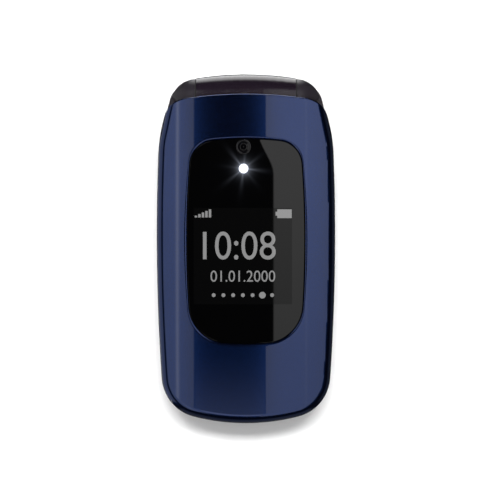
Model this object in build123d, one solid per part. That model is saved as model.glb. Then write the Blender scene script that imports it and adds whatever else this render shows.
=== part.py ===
from build123d import *
import os
from math import asin, degrees, radians, sin, sqrt

# Flip phone, closed and lying on its back. Millimetres. +Z comes out of the lid, +Y is the hinge end,
# +X is to the right. The origin is under the middle of the closed phone, on the face that it rests on.

# Whole phone
body_width = 51.0           # at the widest, half way along
body_length = 100.0         # foot end to just past the crown of the hinge barrel
base_height = 10.2          # resting face to the rim round the keypad
lid_gap = 0.3               # between base and lid when closed
lid_height = 8.9            # inner face to crown of the cover
wall = 1.2                  # moulded shells
fit_gap = 0.1               # between pieces that sit in each other
run_gap = 0.3               # between pieces that move past each other
screw_radius = 0.9
screw_head = (1.6, 0.7)     # radius and height
boss_radius = 2.1
past = 1.0                  # how far a cut runs past what it cuts

# Plan outline
foot_bow = 4.6              # how far the foot end bows out
foot_corner_draw = 2.0      # corner of side and foot end, inside the widest place
foot_corner_radius = 12.0
widest_from_middle = 3.4    # the widest place, towards the hinge
shoulder_draw = 0.6         # where the side starts to draw in towards the hinge
shoulder_from_hinge = 12.7
shoulder_radius = 40.0
end_corner_draw = 4.5       # corner of the drawn-in side and the hinge end
end_corner_past_hinge = 4.1
end_corner_radius = 7.5
end_bow = 0.7
base_inset = 0.3            # the base stands this far inside the cover's outline

# Lid
cover_split = 3.2           # height of the inner housing below the cover
crown_across = 95.0         # radius of the crown from side to side
crown_along = 900.0         # radius of the crown from end to end
cover_rim_radius = 2.6
cover_past_hinge = 0.2      # hinge-end edge of the cover at the middle
cover_end_radius = 128.0
cover_end_corner = 7.0
window_from_foot = 22.6
window_from_hinge = 12.5
window_half_width = 16.9
window_widest_from_foot = 33.4
window_side_bow = 1.3
window_end_bow = 1.3
window_foot_bow = 1.6
window_end_corner = 7.0
window_foot_corner = 11.0
window_thickness = 1.1      # less than the wall, so that the shelf under it joins the cover
window_gap = 0.15
window_ledge = (1.5, 0.8)   # width and thickness of the shelf that carries the window
camera_shift = (-0.7, 2.4)  # off the middle, and below the window's hinge end
camera_ring_radius = 2.15
camera_ring_bore = 1.15
camera_ring_proud = 0.05
camera_body = (7.0, 7.0, 1.1)
camera_barrel = (2.8, 0.6)  # radius and height
torch_below_camera = 6.2
torch_radius = 1.35
torch_body = (3.4, 3.4, 2.0)
outer_display_size = (28.4, 33.0, 2.3)
outer_display_shift = (-0.6, 25.1)  # off the middle, and above the window's foot end
main_display_size = (40.0, 56.0, 1.9)
screen_lens_size = (43.0, 62.0, 0.7)
screen_from_foot = 42.0
screen_lens_sink = 0.1      # lens face below the lid's inner face
screen_lens_corner = 2.5
lid_board_width = 31.0
lid_board_thickness = 0.7
lid_board_from_foot = 16.0
lid_board_from_hinge = 11.7
earpiece_size = (12.0, 6.0, 1.5)
earpiece_slot = (9.0, 1.6)
earpiece_from_hinge = 15.2
mesh_thickness = 0.3
magnet_size = (8.0, 3.0, 1.4)
magnet_from_foot = 6.0
bumper_radius = 0.9
bumper_height = 0.8
bumper_spacing = 20.0
bumper_from_foot = 2.6
lid_screw_from_side = (7.0, 7.5)     # foot pair, hinge pair
lid_screw_from_foot = 8.5
lid_screw_from_hinge = 12.7
lid_screw_length = 4.2

# Hinge
hinge_from_end = 6.3        # axis to the end of the body length
hinge_z = 10.6
barrel_radius = 6.1         # at the middle of the barrel
barrel_end_radius = 5.0
barrel_half = 14.3
barrel_bore = 3.6
lip_size = (10.0, 1.3, 0.2)  # raised lip on the barrel: width, breadth, height
ear_radius = 4.8
ear_length = 6.6
ear_shoulder = (0.62, 0.69)  # a place on the ear's dome, as shares of its length and radius
ear_reach = 1.0             # base wall past the hinge axis
tail_height = 3.3           # thickness of the base below the barrel
shaft_radius = 1.5
shaft_length = 9.0
shaft_flat = 0.4
can_length = 8.6
can_wall = 0.5
spring_wire = 0.6
bush_length = 5.0
hinge_seat = 3.4            # how deep the shaft and the pin sit in the ears
flex_width = 6.0
flex_thickness = 0.2
flex_radius = 2.7

# Base
rear_split = 6.2            # height of the joint between the rear and front housings
deck_depth = 0.9            # keypad recess below the rim
deck_margin = 2.4
deck_from_hinge = 12.7
bottom_round = 2.6
cover_plate = 1.2           # battery cover thickness
cover_skirt = 0.3           # rim of the battery cover above its plate
battery_cover_from_hinge = 19.7
battery_size = (36.0, 51.0, 3.8)
battery_from_cover_end = 2.0
bay_gap = 0.3
bay_wall = 0.8
bay_roof = 0.4
board_width = 42.0
board_thickness = 0.8
board_from_foot = 4.9
board_from_hinge = 7.8
board_corner = 6.0
board_foot_z = 5.95
sim_size = (28.0, 12.0, 1.5)
sim_from_battery = 2.2
speaker_size = (15.0, 11.0, 3.0)
speaker_shift = (-3.5, 11.7)  # off the middle, and below the hinge axis
speaker_slots = 5
speaker_slot_size = (8.0, 0.8)
speaker_slot_pitch = 1.6
motor_radius = 3.6
motor_height = 2.7
motor_shift = (17.2, 14.3)
shield_size = (12.0, 10.0, 1.6)
shield_shift = (11.0, 13.7)
usb_size = (7.6, 5.2, 2.7)
usb_wall = 0.35
usb_sink = 0.5
usb_tongue_inset = 1.0
headset_size = (11.0, 6.0, 4.4)
headset_bore = 1.75
headset_from_hinge = 15.2
microphone_radius = 2.0
microphone_height = 1.1
microphone_shift = (6.0, 7.5)  # off the middle, and above the foot end
sound_hole = 0.5
antenna_size = (9.0, 2.2, 2.8)
antenna_shift = (-9.0, 5.4)
contact_size = (8.0, 3.6, 2.2)
base_screw_from_side = (8.0, 5.1)    # foot pair, hinge pair
base_screw_from_foot = 8.5
base_screw_from_hinge = 8.2

# Keys
key_travel = 0.35
key_top = 9.95
key_flange = 0.5            # how far the foot of a key spreads under the deck
key_flange_height = 0.6
key_gap = 0.2
key_length = 8.4
keys_from_side = 4.7
key_between = (1.6, 1.8)    # between columns, between rows
key_corner = 1.8
key_names = (("1", "2", "3"), ("4", "5", "6"), ("7", "8", "9"), ("star", "0", "hash"))
deck_thickness = 1.2
dome_height = 0.2
dome_sheet_thickness = 0.1
dome_radius = 2.2
nav_from_hinge = 26.7
keys_below_nav = 5.8        # ring to the first row of number keys
nav_outer = 9.0
nav_inner = 4.4
nav_pad_outer = 5.6
nav_pad_height = 0.4
nav_rise = 0.35             # ring above its pad, so that it can tilt
ok_radius = 4.0
call_key_length = 7.0
call_keys_from_side = 4.8
call_keys_from_nav = 2.1
call_key_shift = 6.4        # call keys and soft keys, either side of the ring's middle
side_key_proud = 0.3
side_key_height = 2.6
side_key_z = 6.0
side_flange = (0.6, 0.55)   # spread and thickness
rocker_length = 14.0
rocker_tilt = 2.0           # degrees either way
rocker_from_hinge = 29.7
side_key_length = 8.0
side_key_from_hinge = 27.7
help_button_radius = 4.0
help_button_sink = 0.3      # below the resting face
help_button_shift = (9.6, 10.2)

lid_floor = base_height + lid_gap
lid_top = lid_floor + lid_height
cover_floor = lid_floor + cover_split
foot_y = -body_length / 2
half_width = body_width / 2
hinge_y = body_length / 2 - hinge_from_end
foot_corner_x = half_width - foot_corner_draw
shoulder_x = half_width - shoulder_draw
shoulder_y = hinge_y - shoulder_from_hinge
end_corner_x = half_width - end_corner_draw
end_corner_y = hinge_y + end_corner_past_hinge
end_y = end_corner_y + end_bow
cover_end_y = hinge_y + cover_past_hinge
window_foot_y = foot_y + window_from_foot
window_end_y = hinge_y - window_from_hinge
window_widest_y = window_foot_y + window_widest_from_foot
camera_at = (camera_shift[0], window_end_y - camera_shift[1])
torch_at = (camera_at[0], camera_at[1] - torch_below_camera)
outer_display_at = (outer_display_shift[0], window_foot_y + outer_display_shift[1])
screen_y = foot_y + screen_from_foot
lid_board_length = hinge_y - foot_y - lid_board_from_foot - lid_board_from_hinge
lid_board_size = (lid_board_width, lid_board_length, lid_board_thickness)
lid_board_y = foot_y + lid_board_from_foot + lid_board_size[1] / 2
earpiece_y = hinge_y - earpiece_from_hinge
magnet_y = foot_y + magnet_from_foot
bumper_at = (bumper_spacing / 2, foot_y + bumper_from_foot)
lid_screw_at = (
    (half_width - lid_screw_from_side[0], foot_y + lid_screw_from_foot),
    (half_width - lid_screw_from_side[1], hinge_y - lid_screw_from_hinge),
)
deck_end_y = hinge_y - deck_from_hinge
battery_cover_end = hinge_y - battery_cover_from_hinge
battery_y = battery_cover_end - battery_from_cover_end - battery_size[1] / 2
board_size = (board_width, hinge_y - foot_y - board_from_foot - board_from_hinge, board_thickness)
board_y = foot_y + board_from_foot + board_size[1] / 2
sim_y = battery_y - battery_size[1] / 2 - sim_from_battery - sim_size[1] / 2
speaker_at = (speaker_shift[0], hinge_y - speaker_shift[1])
motor_at = (motor_shift[0], hinge_y - motor_shift[1])
shield_at = (shield_shift[0], hinge_y - shield_shift[1])
headset_y = hinge_y - headset_from_hinge
microphone_at = (microphone_shift[0], foot_y + microphone_shift[1])
antenna_at = (antenna_shift[0], foot_y + antenna_shift[1])
base_screw_at = (
    (half_width - base_screw_from_side[0], foot_y + base_screw_from_foot),
    (half_width - base_screw_from_side[1], hinge_y - base_screw_from_hinge),
)
key_size = ((body_width - 2 * keys_from_side - 2 * key_between[0]) / 3, key_length)
key_pitch = (key_size[0] + key_between[0], key_length + key_between[1])
nav_y = hinge_y - nav_from_hinge
key_first_row_y = nav_y - nav_outer - keys_below_nav - key_length / 2
call_key_size = (half_width - call_keys_from_side - nav_outer - call_keys_from_nav, call_key_length)
call_key_x = half_width - call_keys_from_side - call_key_size[0] / 2
call_key_y = nav_y - call_key_shift
soft_key_y = nav_y + call_key_shift
rocker_y = hinge_y - rocker_from_hinge
side_key_y = hinge_y - side_key_from_hinge
help_button_at = (help_button_shift[0], hinge_y - help_button_shift[1])
deck_top = base_height - deck_depth
deck_foot = deck_top - deck_thickness
board_top = board_foot_z + board_size[2]
dome_top = board_top + dome_sheet_thickness + dome_height
flange_foot = dome_top + key_travel + fit_gap / 2
bay_top = board_foot_z - fit_gap / 2 - bay_roof
above = 2 * body_width      # clear of the whole phone


def bow(radius, half_chord):
    """How far an arc rises over half of its chord."""
    return radius - sqrt(radius ** 2 - half_chord ** 2)


def mirrored(point):
    return (-point[0], point[1])


def block(x, y, z):
    """A box from three (low, high) pairs."""
    middle = [(low + high) / 2 for low, high in (x, y, z)]
    return Pos(*middle) * Box(x[1] - x[0], y[1] - y[0], z[1] - z[0])


def slab(size, at, z):
    """A box of size[0] by size[1] about a point, between two heights."""
    return Pos(at[0], at[1], (z[0] + z[1]) / 2) * Box(size[0], size[1], z[1] - z[0])


def disc(radius, at, z):
    """An upright cylinder about a point, between two heights."""
    return Pos(at[0], at[1], (z[0] + z[1]) / 2) * Cylinder(radius, z[1] - z[0])


def rod(radius, x, y=hinge_y, z=hinge_z):
    """A cylinder along X, on the hinge axis unless told otherwise."""
    return Pos((x[0] + x[1]) / 2, y, z) * Rot(0, 90, 0) * Cylinder(radius, x[1] - x[0])


def pad(size, corner, at, z):
    """A slab with round upright corners."""
    face = RectangleRounded(size[0], size[1], corner)
    return Pos(at[0], at[1], z[0]) * extrude(face, z[1] - z[0])


def layer(face, z):
    """A plan face made solid between two heights."""
    return Pos(0, 0, z[0]) * extrude(face, z[1] - z[0], dir=(0, 0, 1))


def round_at(face, point, radius):
    """Round the two mirrored corners of a face nearest to a point."""
    corners = [
        min(face.vertices(), key=lambda v: (v.X - side * point[0]) ** 2 + (v.Y - point[1]) ** 2)
        for side in (1, -1)
    ]
    return fillet(corners, radius)


def plan(inset, end, end_middle, end_radius):
    """A plan of the phone, drawn in by an inset: bowed sides and foot end, narrower towards the hinge."""
    foot = (foot_corner_x - inset, foot_y + foot_bow + inset)
    shoulder = (shoulder_x - inset, shoulder_y)
    end = (end[0] - inset, end[1] - inset)
    side = (half_width - inset, widest_from_middle)
    face = make_face([
        ThreePointArc(mirrored(foot), (0, foot_y + inset), foot),
        ThreePointArc(foot, side, shoulder),
        Line(shoulder, end),
        ThreePointArc(end, (0, end_middle - inset), mirrored(end)),
        Line(mirrored(end), mirrored(shoulder)),
        ThreePointArc(mirrored(shoulder), mirrored(side), mirrored(foot)),
    ])
    face = round_at(face, foot, foot_corner_radius - inset)
    face = round_at(face, shoulder, shoulder_radius - inset)
    return round_at(face, end, end_radius - inset)


def outline(inset=0.0):
    """Plan of the whole phone."""
    return plan(inset, (end_corner_x, end_corner_y), end_y, end_corner_radius)


def cover_outline(inset=0.0):
    """Plan of the lid: the phone's plan, ended by an arc over the hinge axis."""
    run = Vector(end_corner_x - shoulder_x, end_corner_y - shoulder_y)
    start = Vector(shoulder_x, shoulder_y - cover_end_y + cover_end_radius)
    half = start.dot(run) / run.dot(run)
    rest = (start.dot(start) - cover_end_radius ** 2) / run.dot(run)
    along = -half + sqrt(half ** 2 - rest)
    corner = (shoulder_x + along * run.X, shoulder_y + along * run.Y)
    return plan(inset, corner, cover_end_y, cover_end_corner)


def window_outline(grow=0.0):
    """Plan of the window: bowed sides, larger corners towards the foot end."""
    side = window_half_width - window_side_bow + grow
    foot = (side, window_foot_y + window_foot_bow - grow)
    end = (side, window_end_y - window_end_bow + grow)
    widest = (window_half_width + grow, window_widest_y)
    face = make_face([
        ThreePointArc(mirrored(foot), (0, window_foot_y - grow), foot),
        ThreePointArc(foot, widest, end),
        ThreePointArc(end, (0, window_end_y + grow), mirrored(end)),
        ThreePointArc(mirrored(end), mirrored(widest), mirrored(foot)),
    ])
    face = round_at(face, foot, window_foot_corner + grow)
    return round_at(face, end, window_end_corner + grow)


def crown(top):
    """Everything under a surface that curves gently across and very gently along."""
    edge_z = top - bow(crown_across, body_width)
    corners = [(body_width, edge_z), (body_width, top - above), (-body_width, top - above),
               (-body_width, edge_z)]
    section = make_face([ThreePointArc(corners[3], (0, top), corners[0]), Polyline(*corners)])
    swing = Axis((0, 0, top - crown_along), (1, 0, 0))
    turn = degrees(asin(body_length / crown_along))
    return revolve((Plane.XZ * section).rotate(swing, -turn), swing, 2 * turn)


def barrel(radius, end_radius, half):
    """A crowned barrel on the hinge axis."""
    section = make_face([
        ThreePointArc((-half, end_radius), (0, radius), (half, end_radius)),
        Polyline((half, end_radius), (half, 0), (-half, 0), (-half, end_radius)),
    ])
    return Pos(0, hinge_y, hinge_z) * revolve(section, Axis.X)


def ear(side, grow=0.0):
    """A domed ear on the hinge axis, beside the barrel."""
    start = barrel_half + (0 if grow else run_gap)
    tip = barrel_half + run_gap + ear_length + grow
    radius = ear_radius + grow
    shoulder = (start + (tip - start) * ear_shoulder[0], radius * ear_shoulder[1])
    section = make_face([
        ThreePointArc((start, radius), shoulder, (tip, 0)),
        Polyline((tip, 0), (start, 0), (start, radius)),
    ])
    dome = revolve(section, Axis.X)
    return Pos(0, hinge_y, hinge_z) * (dome if side > 0 else mirror(dome, Plane.YZ))


# ---------------------------------------------------------------- lid

def dome():
    """The lid's outer form above the split."""
    form = layer(outline(), (cover_floor, lid_top)) & crown(lid_top)
    rim = [e for e in form.edges() if e.bounding_box().min.Z > cover_floor + fit_gap]
    return fillet(rim, cover_rim_radius) & layer(cover_outline(), (cover_floor, lid_top))


def under_dome(depth):
    """The room under the cover, this deep below its outside."""
    return layer(cover_outline(depth), (cover_floor, lid_top)) & crown(lid_top - depth)


def hinge_room():
    """The space that the lid leaves for the ears through its whole swing."""
    return ear(1, run_gap) + ear(-1, run_gap)


def lid_bosses():
    """Screw bosses under the cover."""
    bosses = [
        disc(boss_radius, (side * x, y), (cover_floor, lid_top))
        for x, y in lid_screw_at for side in (1, -1)
    ]
    return Part() + bosses


def lid_outer_cover():
    shelf = window_outline(window_ledge[0]) - window_outline(-window_ledge[0])
    under_glass = lid_top - window_thickness
    ledge = layer(shelf, (cover_floor, lid_top)) & crown(under_glass)
    ledge = ledge - crown(under_glass - window_ledge[1])
    shell = dome() - under_dome(wall)
    bosses = lid_bosses() & under_dome(wall / 2)
    shell = shell + bosses - layer(window_outline(), (cover_floor, lid_top)) + ledge
    screw_hole_top = lid_floor + lid_screw_length + wall
    for x, y in lid_screw_at:
        for side in (1, -1):
            shell = shell - disc(screw_radius, (side * x, y), (cover_floor, screw_hole_top))
    shell = shell - disc(camera_ring_radius, camera_at, (cover_floor, lid_top))
    shell = shell - barrel(barrel_radius + fit_gap, barrel_end_radius + fit_gap, barrel_half)
    return shell - hinge_room()


def lid_window():
    glass = layer(window_outline(-window_gap), (cover_floor, lid_top)) & crown(lid_top)
    glass = glass - crown(lid_top - window_thickness)
    glass = glass - disc(camera_ring_radius + fit_gap / 2, camera_at, (cover_floor, lid_top))
    return glass - disc(torch_radius + fit_gap / 2, torch_at, (cover_floor, lid_top))


def lid_surface(at):
    """Height of the cover's crown over a point of the plan."""
    return lid_top - bow(crown_across, abs(at[0])) - bow(crown_along, abs(at[1]))


def lid_inner_housing():
    tray = layer(cover_outline(fit_gap), (lid_floor, cover_floor))
    tray = tray - layer(cover_outline(wall), (lid_floor + wall, cover_floor))
    neck = block((-barrel_half, barrel_half), (hinge_y - barrel_radius - wall, hinge_y),
                 (lid_floor, cover_floor))
    roll = barrel(barrel_radius, barrel_end_radius, barrel_half)
    lip_x = (-lip_size[0] / 2, lip_size[0] / 2)
    lip_foot_y = cover_end_y + fit_gap
    lip = rod(barrel_radius + lip_size[2], lip_x)
    lip = lip & block(lip_x, (lip_foot_y, lip_foot_y + lip_size[1]), (hinge_z, lid_top))
    bosses = [
        disc(boss_radius, (side * x, y), (lid_floor, lid_floor + wall + screw_head[1]))
        for x, y in lid_screw_at for side in (1, -1)
    ]
    shell = tray + neck + roll + lip + bosses
    shell = shell - rod(barrel_bore, (-barrel_half - past, barrel_half + past))
    shell = shell - pad(screen_lens_size, screen_lens_corner, (0, screen_y),
                        (lid_floor - past, screen_lens_top()))
    shell = shell - slab(grown(main_display_size, fit_gap), (0, screen_y), (lid_floor, cover_floor))
    shell = shell - pad(earpiece_slot, earpiece_slot[1] / 2 - fit_gap, (0, earpiece_y),
                        (lid_floor - past, cover_floor))
    for x, y in lid_screw_at:
        for side in (1, -1):
            at = (side * x, y)
            shell = shell - disc(screw_radius + fit_gap, at, (lid_floor - past, cover_floor))
            shell = shell - disc(screw_head[0] + fit_gap, at, (lid_floor - past, lid_floor + wall))
    for at in (bumper_at, mirrored(bumper_at)):
        shell = shell - disc(bumper_radius, at, (lid_floor - past, bumper_top()))
    return shell - hinge_room() - flex_slots()


def grown(size, gap):
    return (size[0] + 2 * gap, size[1] + 2 * gap)


def screen_lens_top():
    return lid_floor + screen_lens_sink + screen_lens_size[2]


def bumper_top():
    return lid_floor + bumper_height - lid_gap + fit_gap


def lid_pieces():
    glass_foot = lid_surface(camera_at) - window_thickness
    board_foot = screen_lens_top() + main_display_size[2] + fit_gap
    board_z = (board_foot, board_foot + lid_board_size[2])
    floor_top = lid_floor + wall
    parts = {
        "lid_outer_cover": lid_outer_cover(),
        "lid_window": lid_window(),
        "lid_inner_housing": lid_inner_housing(),
    }
    lens = grown(screen_lens_size, -fit_gap)
    parts["main_screen_lens"] = pad(lens, screen_lens_corner - fit_gap, (0, screen_y),
                                    (lid_floor + screen_lens_sink, screen_lens_top()))
    parts["main_display"] = slab(main_display_size, (0, screen_y),
                                 (screen_lens_top(), screen_lens_top() + main_display_size[2]))
    parts["lid_board"] = slab(lid_board_size, (0, lid_board_y), board_z)
    parts["outer_display"] = slab(outer_display_size, outer_display_at,
                                  (board_z[1], board_z[1] + outer_display_size[2]))
    ring = disc(camera_ring_radius, camera_at, (glass_foot, lid_surface(camera_at) + camera_ring_proud))
    parts["camera_ring"] = ring - disc(camera_ring_bore, camera_at, (glass_foot - past, lid_top))
    block_top = board_z[1] + camera_body[2]
    parts["camera_module"] = (
        slab(camera_body, camera_at, (board_z[1], block_top))
        + disc(camera_barrel[0], camera_at, (block_top, block_top + camera_barrel[1]))
        + disc(camera_ring_bore - fit_gap, camera_at, (block_top, glass_foot + window_thickness / 2))
    )
    parts["torch_led"] = (
        slab(torch_body, torch_at, (board_z[1], board_z[1] + torch_body[2]))
        + disc(torch_radius, torch_at, (board_z[1], lid_surface(torch_at) - camera_ring_proud))
    )
    parts["earpiece"] = slab(earpiece_size, (0, earpiece_y), (floor_top, floor_top + earpiece_size[2]))
    mesh = grown(earpiece_slot, -fit_gap / 2)
    parts["earpiece_mesh"] = pad(mesh, mesh[1] / 2 - fit_gap, (0, earpiece_y),
                                 (floor_top - mesh_thickness, floor_top))
    parts["closing_magnet"] = slab(magnet_size, (0, magnet_y), (floor_top, floor_top + magnet_size[2]))
    bumper_foot = base_height + fit_gap / 2
    parts["lid_bumpers"] = Compound(children=[
        disc(bumper_radius, at, (bumper_foot, bumper_top()))
        for at in (bumper_at, mirrored(bumper_at))
    ])
    parts["lid_screws"] = Compound(children=[
        disc(screw_radius, (side * x, y), (lid_floor + wall - screw_head[1], lid_floor + lid_screw_length))
        + disc(screw_head[0], (side * x, y), (lid_floor + wall - screw_head[1], lid_floor + wall))
        for x, y in lid_screw_at for side in (1, -1)
    ])
    return parts


# ---------------------------------------------------------------- hinge

def flex_slots():
    """Slots in the barrel and neck that the flex cable comes out of."""
    half = flex_width / 2 + fit_gap * 2
    to_base = block((-half, half), (hinge_y - barrel_radius - wall, hinge_y),
                    (hinge_z - barrel_radius, hinge_z - flex_radius / 2))
    to_lid = block((-half, half), (hinge_y - barrel_radius - 2 * wall, hinge_y),
                   (hinge_z + flex_radius / 2, cover_floor + past))
    return to_base + to_lid


def flex_cable():
    """One turn of the cable round the axis, with a tail to each half."""
    x = (-flex_width / 2, flex_width / 2)
    outer = flex_radius + flex_thickness
    turn = rod(outer, x) - rod(flex_radius, x)
    reach = hinge_y - barrel_radius - 2 * wall
    lid_tail = block(x, (reach, hinge_y), (hinge_z + flex_radius, hinge_z + outer))
    base_tail = block(x, (reach, hinge_y), (hinge_z - outer, hinge_z - flex_radius))
    return turn + lid_tail + base_tail


def keyed_shaft(radius, x):
    """A shaft with a flat along its end, so that it can't turn in its seat."""
    flat = block(x, (hinge_y - radius, hinge_y + radius),
                 (hinge_z + radius - shaft_flat, hinge_z + 2 * radius))
    return rod(radius, x) - flat


def hinge_pieces():
    seat = barrel_half + run_gap + hinge_seat
    can_x = (-barrel_half, -barrel_half + can_length)
    bore = shaft_radius + fit_gap / 2
    can = rod(barrel_bore, can_x) - rod(bore, (can_x[0] - past, can_x[0] + can_wall + past))
    can = can - rod(barrel_bore - can_wall, (can_x[0] + can_wall, can_x[1] - can_wall))
    shaft = keyed_shaft(shaft_radius, (-seat, -seat + shaft_length))
    spring_x = (-seat + shaft_length + fit_gap, can_x[1] - can_wall)
    spring_outer = barrel_bore - can_wall - fit_gap
    spring = rod(spring_outer, spring_x) - rod(spring_outer - spring_wire, spring_x)
    bush_x = (barrel_half - bush_length, barrel_half)
    bush = rod(barrel_bore, bush_x) - rod(bore, bush_x)
    return {
        "hinge_can": can,
        "hinge_spring": spring,
        "hinge_bush": bush,
        "hinge_cam_shaft": shaft,
        "hinge_pin": rod(shaft_radius, (seat - shaft_length, seat)),
        "hinge_flex_cable": flex_cable(),
    }


def ear_seats():
    """The shaft's and the pin's holes in the ears."""
    seat = barrel_half + run_gap + hinge_seat
    return keyed_shaft(shaft_radius, (-seat, -barrel_half)) + rod(shaft_radius, (barrel_half, seat))


# ---------------------------------------------------------------- base

def base_form(inset=0.0):
    """The base's outer form without its ears."""
    form = layer(outline(base_inset + inset), (0, base_height))
    rim = [e for e in form.edges() if e.bounding_box().max.Z < fit_gap]
    form = fillet(rim, bottom_round)
    trough = barrel_radius + lip_size[2] + run_gap
    form = form - rod(trough, (-barrel_half - run_gap, barrel_half + run_gap))
    return form - block((-above, above), (hinge_y + ear_reach, above), (tail_height, above))


def base_hollow(z, inset=wall):
    """The room inside the base between two heights, clear of the barrel's trough."""
    room = layer(outline(base_inset + inset), z)
    trough = barrel_radius + lip_size[2] + run_gap + wall
    room = room - rod(trough, (-above, above))
    return room - block((-above, above), (hinge_y - ear_radius, above), (0, above))


def key_places():
    """Name, plan size and centre of each key that is a plain pad."""
    places = []
    for row, names in enumerate(key_names):
        for column, name in enumerate(names):
            at = ((column - 1) * key_pitch[0], key_first_row_y - row * key_pitch[1])
            places.append(("key_" + name, key_size, at))
    for name, x, y in (
        ("soft_key_left", -call_key_x, soft_key_y),
        ("soft_key_right", call_key_x, soft_key_y),
        ("send_key", -call_key_x, call_key_y),
        ("end_key", call_key_x, call_key_y),
    ):
        places.append((name, call_key_size, (x, y)))
    return places


def front_housing():
    form = base_form() & layer(outline(), (rear_split, base_height))
    form = form - base_hollow((rear_split, deck_foot))
    recess = outline(base_inset + deck_margin)
    recess = layer(recess, (deck_top, base_height + past))
    form = form - (recess & block((-above, above), (-above, deck_end_y), (0, above)))
    form = form + ear(1) + ear(-1) - ear_seats()
    for name, size, at in key_places():
        form = form - pad(grown(size, key_gap), key_corner + key_gap, at, (deck_foot - past, base_height))
    form = form - disc(nav_outer + key_gap, (0, nav_y), (deck_foot - past, base_height))
    for x, y in base_screw_at:
        for side in (1, -1):
            boss = disc(boss_radius, (side * x, y), (board_foot_z, deck_foot))
            boss = boss & base_hollow((board_foot_z, deck_foot), wall + fit_gap)
            form = form + boss - disc(screw_radius, (side * x, y), (0, deck_foot))
    form = form - disc(sound_hole, microphone_at, (deck_foot - past, base_height))
    half = flex_width / 2 + fit_gap
    tail_z = hinge_z - flex_radius
    form = form - block((-half, half), (hinge_y - barrel_radius - 3 * wall, hinge_y),
                        (tail_z - 3 * flex_thickness, tail_z + 2 * flex_thickness))
    return form - side_slots()


def side_half(y):
    """Half width of the base's outside at a place along it."""
    strip = layer(outline(base_inset), (0, past)) & block((0, above), (y - fit_gap, y + fit_gap), (0, past))
    return strip.bounding_box().max.X


def side_key_parts():
    """Each side key as (name, side, length, place along the phone, tilt either way)."""
    return (
        ("volume_rocker", -1, rocker_length, rocker_y, rocker_tilt),
        ("side_key", 1, side_key_length, side_key_y, 0),
    )


def side_slots():
    """Openings in the side walls that the side keys stand in."""
    slots = Part()
    rise = side_key_height / 2 + key_gap
    for name, side, length, y, tilt in side_key_parts():
        half = side_half(y)
        reach = length / 2 + key_gap
        x = sorted((side * (half - wall - past), side * (half + past)))
        slots = slots + block(x, (y - reach, y + reach), (side_key_z - rise, side_key_z + rise))
    return slots


def side_keys():
    """A cap in each slot, on a foot behind the wall with room for the key's tilt."""
    parts = {}
    rise = side_key_height / 2
    for name, side, length, y, tilt in side_key_parts():
        reach = length / 2 + side_flange[0]
        wall_face = min(side_half(y - reach), side_half(y + reach)) - wall
        foot_face = wall_face - fit_gap - reach * sin(radians(tilt))
        back = foot_face - side_flange[1]
        cap = block(sorted((side * back, side * (side_half(y) + side_key_proud))),
                    (y - length / 2, y + length / 2), (side_key_z - rise, side_key_z + rise))
        rise_foot = rise + side_flange[0]
        foot = block(sorted((side * back, side * foot_face)), (y - reach, y + reach),
                     (side_key_z - rise_foot, side_key_z + rise_foot))
        parts[name] = cap + foot
    return parts


def rear_form():
    return base_form() & layer(outline(), (0, rear_split))


def battery_cover():
    height = cover_plate + cover_skirt
    form = rear_form() & block((-above, above), (-above, battery_cover_end), (0, height))
    hollow = layer(outline(base_inset + bottom_round), (cover_plate, height + past))
    return form - (hollow & block((-above, above), (-above, battery_cover_end - bottom_round), (0, above)))


def rear_housing():
    split = cover_plate + cover_skirt + fit_gap
    form = rear_form() - block((-above, above), (-above, battery_cover_end + fit_gap), (-past, split))
    form = form - ear(1) - ear(-1)
    near = block((-above, above), (-above, battery_cover_end + wall + fit_gap), (0, above))
    form = form - (base_hollow((split + wall, rear_split)) & near)
    form = form - (base_hollow((wall, rear_split)) - near)
    bay = grown(battery_size, bay_gap)
    walls = slab(grown(bay, bay_wall), (0, battery_y), (split, bay_top + bay_roof))
    form = form + walls - slab(bay, (0, battery_y), (split - past, bay_top))
    contact_y = battery_y + battery_size[1] / 2
    form = form - slab(grown(contact_size, fit_gap), (0, contact_y + contact_size[1] / 2),
                       (bay_top - contact_size[2], bay_top + bay_roof))
    form = form - slab(sim_size, (0, sim_y), (split - past, bay_top))
    for x, y in base_screw_at:
        for side in (1, -1):
            at = (side * x, y)
            foot = split if y < battery_cover_end else 0
            form = form + (disc(boss_radius + wall / 2, at, (foot, board_foot_z)) & base_form())
            form = form - disc(screw_head[0] + fit_gap, at, (foot - past, foot + wall + screw_head[1]))
            form = form - disc(screw_radius + fit_gap, at, (foot, rear_split))
    for slot in range(speaker_slots):
        shift = (slot - (speaker_slots - 1) / 2) * speaker_slot_pitch
        at = (speaker_at[0], speaker_at[1] + shift)
        form = form - pad(speaker_slot_size, speaker_slot_size[1] / 2 - fit_gap / 2, at, (-past, wall))
    form = form - disc(help_button_radius + key_gap, help_button_at, (-past, wall + past))
    form = form - usb_mouth()
    end = side_half(headset_y)
    form = form - rod(headset_bore, (-end - past, -end + 2 * wall), headset_y, headset_z())
    return form - side_slots()


def usb_mouth():
    size = grown((usb_size[0], usb_size[2]), fit_gap)
    top = board_foot_z + fit_gap
    return block((-size[0] / 2, size[0] / 2), (foot_y - past, foot_y + base_inset + 2 * wall),
                 (top - size[1], top))


def headset_z():
    return board_foot_z - headset_size[2] / 2


def base_board():
    board = pad(board_size, board_corner, (0, board_y), (board_foot_z, board_top))
    for x, y in base_screw_at:
        for side in (1, -1):
            board = board - disc(boss_radius + fit_gap, (side * x, y), (board_foot_z - past, board_top + past))
    return board


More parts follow.
